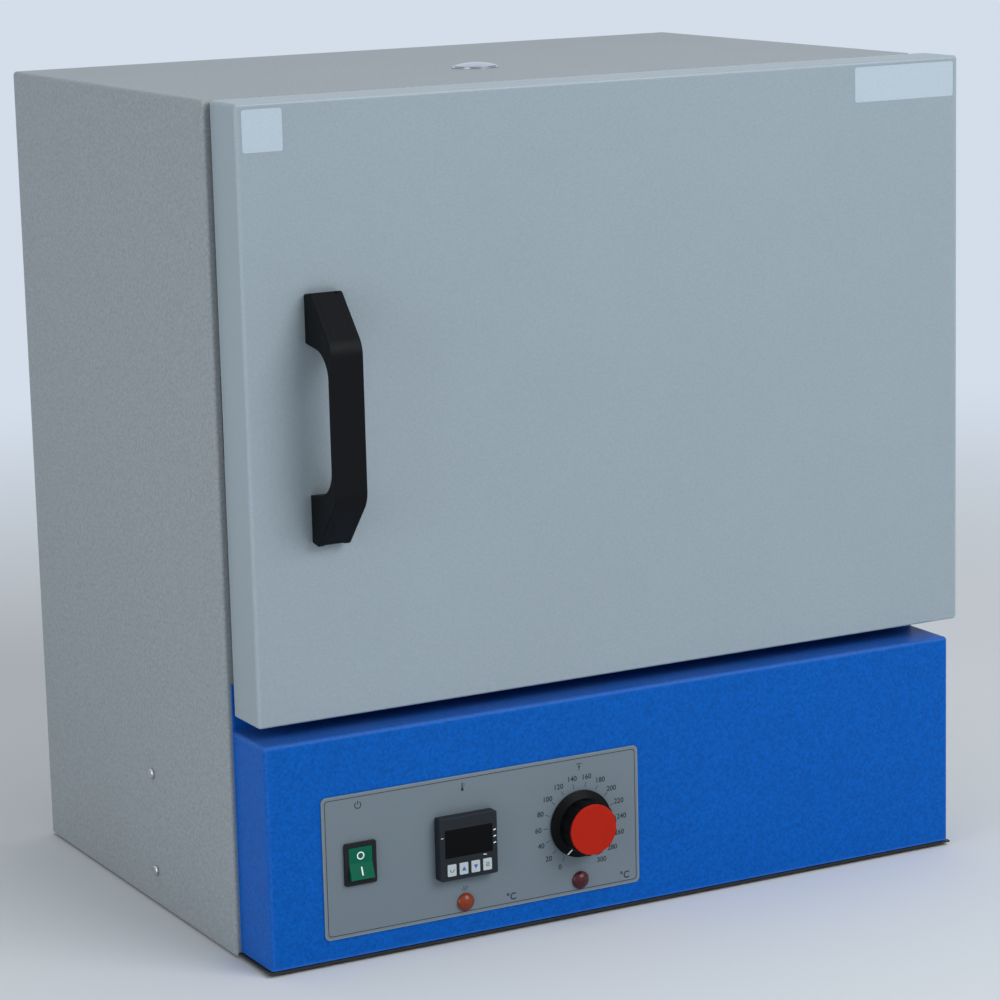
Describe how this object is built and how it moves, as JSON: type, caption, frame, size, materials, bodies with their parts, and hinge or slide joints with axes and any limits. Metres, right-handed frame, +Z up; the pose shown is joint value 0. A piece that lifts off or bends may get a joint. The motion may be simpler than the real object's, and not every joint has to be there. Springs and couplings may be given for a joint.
{
  "type": "laboratory incubator",
  "caption": "Bench-top laboratory incubator: grey steel cabinet with an insulated chamber, side-hung door with a black bridge handle, and a blue front cover with switch, controller and dial.",
  "frame": {"origin": "middle of the base and of its four feet, which reach under the front cover, at bench level", "axes": "+Z up, -Y to the front (door, front cover and controls), +X to the user's right, where the door's hinges are"},
  "size_m": [0.6199, 0.4815, 0.6367],
  "materials": {
    "casing_paint": "satin powder coat",
    "frame_paint": "satin powder coat",
    "door_paint": "satin powder coat",
    "cover_blue": "satin powder coat",
    "plate_grey": "satin print",
    "tray_steel": "galvanised",
    "foot_rubber": "matt",
    "zinc_screws": "zinc plated",
    "black_plastic": "fine texture",
    "control_black": "fine texture",
    "window_black": "gloss",
    "key_grey": "matt",
    "rocker_green": "gloss",
    "lens_amber": "gloss",
    "lens_dark": "gloss",
    "cap_red": "gloss",
    "chamber_steel": "brushed",
    "element_steel": "heat tinted",
    "probe_steel": "drawn",
    "chrome_wire": "bright",
    "vent_chrome": "bright",
    "hinge_steel": "satin",
    "magnet_black": "matt",
    "gasket_silicone": "matt",
    "mineral_wool": "fibrous",
    "thermostat_metal": "cast",
    "relay_plastic": "satin"
  },
  "bodies": {
    "cabinet": {"outer_casing": "casing_paint", "rear_panel": "casing_paint", "front_frame": "frame_paint", "base_tray": "tray_steel", "control_deck": "tray_steel", "feet": "foot_rubber", "side_screws": "zinc_screws", "rear_screws": "zinc_screws", "cable_gland": "black_plastic", "gland_nut": "black_plastic", "chamber_liner": "chamber_steel", "chamber_insulation": "mineral_wool", "shelf_ladder_left": "chrome_wire", "shelf_ladder_right": "chrome_wire", "heating_element": "element_steel", "element_cover": "chamber_steel", "control_probe": "probe_steel", "safety_probe": "probe_steel", "vent_tube": "vent_chrome", "front_cover": "cover_blue", "cover_screws": "zinc_screws", "control_plate": "plate_grey", "switch_body": "black_plastic", "controller_bezel": "control_black", "controller_case": "control_black", "controller_clamp": "control_black", "controller_window": "window_black", "lamp_bodies": "black_plastic", "heat_lamp_lens": "lens_amber", "overtemp_lamp_lens": "lens_dark", "thermostat_body": "thermostat_metal", "relay": "relay_plastic", "terminal_block": "relay_plastic", "catch_magnet": "magnet_black", "hinge_frame_leaves": "hinge_steel", "hinge_pins": "hinge_steel", "hinge_frame_screws": "zinc_screws"},
    "door": {"door_skin": "door_paint", "door_inner_panel": "chamber_steel", "door_insulation": "mineral_wool", "door_gasket": "gasket_silicone", "handle": "black_plastic", "handle_covers": "black_plastic", "handle_screws": "zinc_screws", "hinge_door_leaves": "hinge_steel", "hinge_door_screws": "zinc_screws", "catch_strike": "zinc_screws"},
    "rocker": {"switch_rocker": "rocker_green"},
    "controller_key_1": {"key_1": "key_grey"},
    "controller_key_2": {"key_2": "key_grey"},
    "controller_key_3": {"key_3": "key_grey"},
    "controller_key_4": {"key_4": "key_grey"},
    "safety_knob": {"knob": "control_black", "knob_cap": "cap_red", "thermostat_shaft": "probe_steel"},
    "vent_lid": {"vent_cap": "vent_chrome"},
    "lower_wire_shelf": {"lower_shelf": "chrome_wire"},
    "upper_wire_shelf": {"upper_shelf": "chrome_wire"}
  },
  "joints": [
    {"name": "door_hinge", "type": "hinge", "parent": "cabinet", "child": "door", "pos_m": [0.3088, -0.1592, 0.4082], "axis": [0, 0, 1], "range_deg": [0, 120]},
    {"name": "mains_rocker", "type": "hinge", "parent": "cabinet", "child": "rocker", "pos_m": [-0.2265, -0.2163, 0.0757], "axis": [1, 0, 0], "range_deg": [0, 20]},
    {"name": "safety_knob_turn", "type": "hinge", "parent": "cabinet", "child": "safety_knob", "pos_m": [-0.041, -0.2163, 0.0752], "axis": [0, 1, 0], "range_deg": [0, 300]},
    {"name": "vent_lid_lift", "type": "slide", "parent": "cabinet", "child": "vent_lid", "axis": [0, 0, 1], "range_m": [0, 0.01]},
    {"name": "lower_shelf_slide", "type": "slide", "parent": "cabinet", "child": "lower_wire_shelf", "axis": [0, -1, 0], "range_m": [0, 0.024]},
    {"name": "upper_shelf_slide", "type": "slide", "parent": "cabinet", "child": "upper_wire_shelf", "axis": [0, -1, 0], "range_m": [0, 0.024]},
    {"name": "key_1_press", "type": "slide", "parent": "cabinet", "child": "controller_key_1", "axis": [0, 1, 0], "range_m": [0, 0.0006], "stiffness_N_per_m": 1200, "springref_m": -0.0006},
    {"name": "key_2_press", "type": "slide", "parent": "cabinet", "child": "controller_key_2", "axis": [0, 1, 0], "range_m": [0, 0.0006], "stiffness_N_per_m": 1200, "springref_m": -0.0006},
    {"name": "key_3_press", "type": "slide", "parent": "cabinet", "child": "controller_key_3", "axis": [0, 1, 0], "range_m": [0, 0.0006], "stiffness_N_per_m": 1200, "springref_m": -0.0006},
    {"name": "key_4_press", "type": "slide", "parent": "cabinet", "child": "controller_key_4", "axis": [0, 1, 0], "range_m": [0, 0.0006], "stiffness_N_per_m": 1200, "springref_m": -0.0006}
  ]
}
